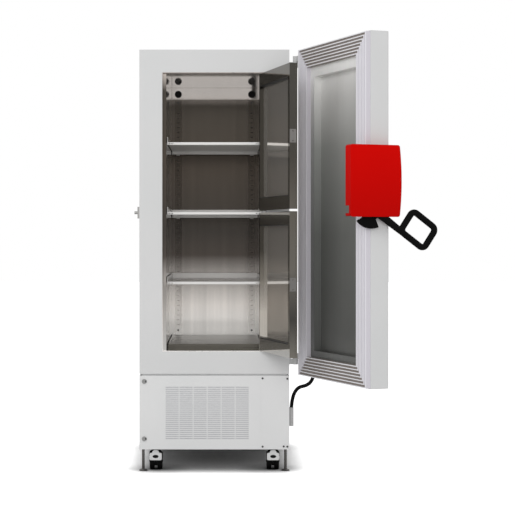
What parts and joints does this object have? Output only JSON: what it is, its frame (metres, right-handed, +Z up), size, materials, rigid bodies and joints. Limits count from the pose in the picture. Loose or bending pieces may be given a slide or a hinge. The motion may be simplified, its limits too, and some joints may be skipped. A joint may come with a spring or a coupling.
{
  "type": "upright ultra low temperature freezer",
  "caption": "Upright ultra low temperature freezer, light grey steel cabinet with outer door and inner doors open on stainless shelves, red lever latch, vented base on casters.",
  "frame": {"origin": "on the floor below the middle of the cabinet", "axes": "X to the right seen from the front, Y to the back, Z up"},
  "size_m": [1.3347, 1.6957, 1.968],
  "materials": {
    "cabinet_paint": "satin",
    "foam": "matte",
    "stainless": "polished",
    "top_plate_steel": "satin",
    "inner_door_skin": "polished",
    "jamb_plastic": "matte",
    "black_rubber": "matte",
    "gasket_vinyl": "satin",
    "red_cover": "gloss",
    "black_lever": "satin",
    "hinge_grey": "satin",
    "bright_steel": "satin",
    "black_plastic": "matte",
    "pedal_grey": "satin",
    "tyre_black": "matte",
    "cable_black": "matte",
    "tube_grey": "satin",
    "bezel_plastic": "satin",
    "display": "gloss",
    "fin_aluminium": "satin",
    "compressor_black": "satin",
    "filter_foam": "matte"
  },
  "bodies": {
    "cabinet": {"cabinet_shell": "cabinet_paint", "front_frame": "cabinet_paint", "base_shell": "cabinet_paint", "service_panel": "cabinet_paint", "insulation": "foam", "inner_liner": "stainless", "shelf_top": "stainless", "shelf_middle": "stainless", "shelf_bottom": "stainless", "floor_tray": "stainless", "shelf_rails": "stainless", "shelf_clips": "stainless", "rear_top_plate": "top_plate_steel", "breaker_strip": "jamb_plastic", "port_plugs": "black_rubber", "striker_plate": "bright_steel", "striker_pin": "bright_steel", "hinge_brackets": "hinge_grey", "hinge_pins": "bright_steel", "screw_heads": "bright_steel", "filter_mat": "filter_foam", "condenser": "fin_aluminium", "fan_shroud": "black_lever", "compressor_first_stage": "compressor_black", "compressor_second_stage": "compressor_black", "caster_plates": "bright_steel", "cable_tube": "tube_grey", "door_cable": "cable_black"},
    "outer_door": {"door_shell": "cabinet_paint", "door_foam": "foam", "door_inner_panel": "stainless", "door_gasket": "gasket_vinyl", "hinge_leaves": "hinge_grey", "latch_base": "bright_steel", "latch_housing": "red_cover", "control_bezel": "bezel_plastic", "display_glass": "display"},
    "latch_lever": {"lever_handle": "black_lever", "latch_cam": "black_lever"},
    "upper_inner_leaf": {"upper_inner_door": "inner_door_skin", "upper_inner_seals": "black_rubber", "upper_catch_plate": "bright_steel"},
    "lower_inner_leaf": {"lower_inner_door": "inner_door_skin", "lower_inner_seals": "black_rubber", "lower_catch_plate": "bright_steel"},
    "fan": {"fan_rotor": "black_plastic"},
    "upper_panel_lock": {"cam_lock_upper": "bright_steel"},
    "lower_panel_lock": {"cam_lock_lower": "bright_steel"},
    "left_brake": {"brake_pedal_left": "pedal_grey"},
    "right_brake": {"brake_pedal_right": "pedal_grey"},
    "left_foot": {"levelling_foot_left": "black_lever"},
    "right_foot": {"levelling_foot_right": "black_lever"},
    "caster_front_left": {"caster_fork_front_left": "black_plastic"},
    "wheels_front_left": {"caster_wheels_front_left": "tyre_black"},
    "caster_front_right": {"caster_fork_front_right": "black_plastic"},
    "wheels_front_right": {"caster_wheels_front_right": "tyre_black"},
    "caster_rear_left": {"caster_fork_rear_left": "black_plastic"},
    "wheels_rear_left": {"caster_wheels_rear_left": "tyre_black"},
    "caster_rear_right": {"caster_fork_rear_right": "black_plastic"},
    "wheels_rear_right": {"caster_wheels_rear_right": "tyre_black"}
  },
  "joints": [
    {"name": "outer_door_swing", "type": "hinge", "parent": "cabinet", "child": "outer_door", "pos_m": [0.378, -0.468, 0], "axis": [0, 0, 1], "range_deg": [-111.2, 8], "deforming": ["door_cable"]},
    {"name": "lever_turn", "type": "hinge", "parent": "outer_door", "child": "latch_lever", "pos_m": [0.65607, -1.15172, 1.212], "axis": [0.3616, -0.9323, 0], "range_deg": [-55, 0]},
    {"name": "upper_inner_swing", "type": "hinge", "parent": "cabinet", "child": "upper_inner_leaf", "pos_m": [0.231, -0.459, 0], "axis": [0, 0, 1], "range_deg": [-104.8, 7.6]},
    {"name": "lower_inner_swing", "type": "hinge", "parent": "cabinet", "child": "lower_inner_leaf", "pos_m": [0.231, -0.459, 0], "axis": [0, 0, 1], "range_deg": [-104.8, 7.6]},
    {"name": "fan_spin", "type": "hinge", "parent": "cabinet", "child": "fan", "pos_m": [-0.0335, -0.35, 0.262], "axis": [0, 1, 0], "continuous": true},
    {"name": "upper_lock_turn", "type": "hinge", "parent": "cabinet", "child": "upper_panel_lock", "pos_m": [-0.327, -0.465, 0.42], "axis": [0, 1, 0], "range_deg": [0, 90]},
    {"name": "lower_lock_turn", "type": "hinge", "parent": "cabinet", "child": "lower_panel_lock", "pos_m": [-0.327, -0.465, 0.1525], "axis": [0, 1, 0], "range_deg": [0, 90]},
    {"name": "swivel_front_left", "type": "hinge", "parent": "cabinet", "child": "caster_front_left", "pos_m": [-0.275, -0.355, 0.09], "axis": [0, 0, 1], "continuous": true},
    {"name": "roll_front_left", "type": "hinge", "parent": "caster_front_left", "child": "wheels_front_left", "pos_m": [-0.275, -0.383, 0.038], "axis": [1, 0, 0], "continuous": true},
    {"name": "swivel_front_right", "type": "hinge", "parent": "cabinet", "child": "caster_front_right", "pos_m": [0.275, -0.355, 0.09], "axis": [0, 0, 1], "continuous": true},
    {"name": "roll_front_right", "type": "hinge", "parent": "caster_front_right", "child": "wheels_front_right", "pos_m": [0.275, -0.383, 0.038], "axis": [1, 0, 0], "continuous": true},
    {"name": "swivel_rear_left", "type": "hinge", "parent": "cabinet", "child": "caster_rear_left", "pos_m": [-0.275, 0.355, 0.09], "axis": [0, 0, 1], "continuous": true},
    {"name": "roll_rear_left", "type": "hinge", "parent": "caster_rear_left", "child": "wheels_rear_left", "pos_m": [-0.275, 0.327, 0.038], "axis": [1, 0, 0], "continuous": true},
    {"name": "swivel_rear_right", "type": "hinge", "parent": "cabinet", "child": "caster_rear_right", "pos_m": [0.275, 0.355, 0.09], "axis": [0, 0, 1], "continuous": true},
    {"name": "roll_rear_right", "type": "hinge", "parent": "caster_rear_right", "child": "wheels_rear_right", "pos_m": [0.275, 0.327, 0.038], "axis": [1, 0, 0], "continuous": true},
    {"name": "left_brake_press", "type": "hinge", "parent": "caster_front_left", "child": "left_brake", "pos_m": [-0.275, -0.434, 0.068], "axis": [1, 0, 0], "range_deg": [-20, 0]},
    {"name": "right_brake_press", "type": "hinge", "parent": "caster_front_right", "child": "right_brake", "pos_m": [0.275, -0.434, 0.068], "axis": [1, 0, 0], "range_deg": [-20, 0]},
    {"name": "left_foot_screw", "type": "slide", "parent": "cabinet", "child": "left_foot", "axis": [0, 0, 1], "range_m": [0, 0.015]},
    {"name": "right_foot_screw", "type": "slide", "parent": "cabinet", "child": "right_foot", "axis": [0, 0, 1], "range_m": [0, 0.015]}
  ],
  "couplings": [
    {"joint": "upper_inner_swing", "follows": "outer_door_swing", "ratio": 0.94245},
    {"joint": "lower_inner_swing", "follows": "outer_door_swing", "ratio": 0.94245}
  ]
}
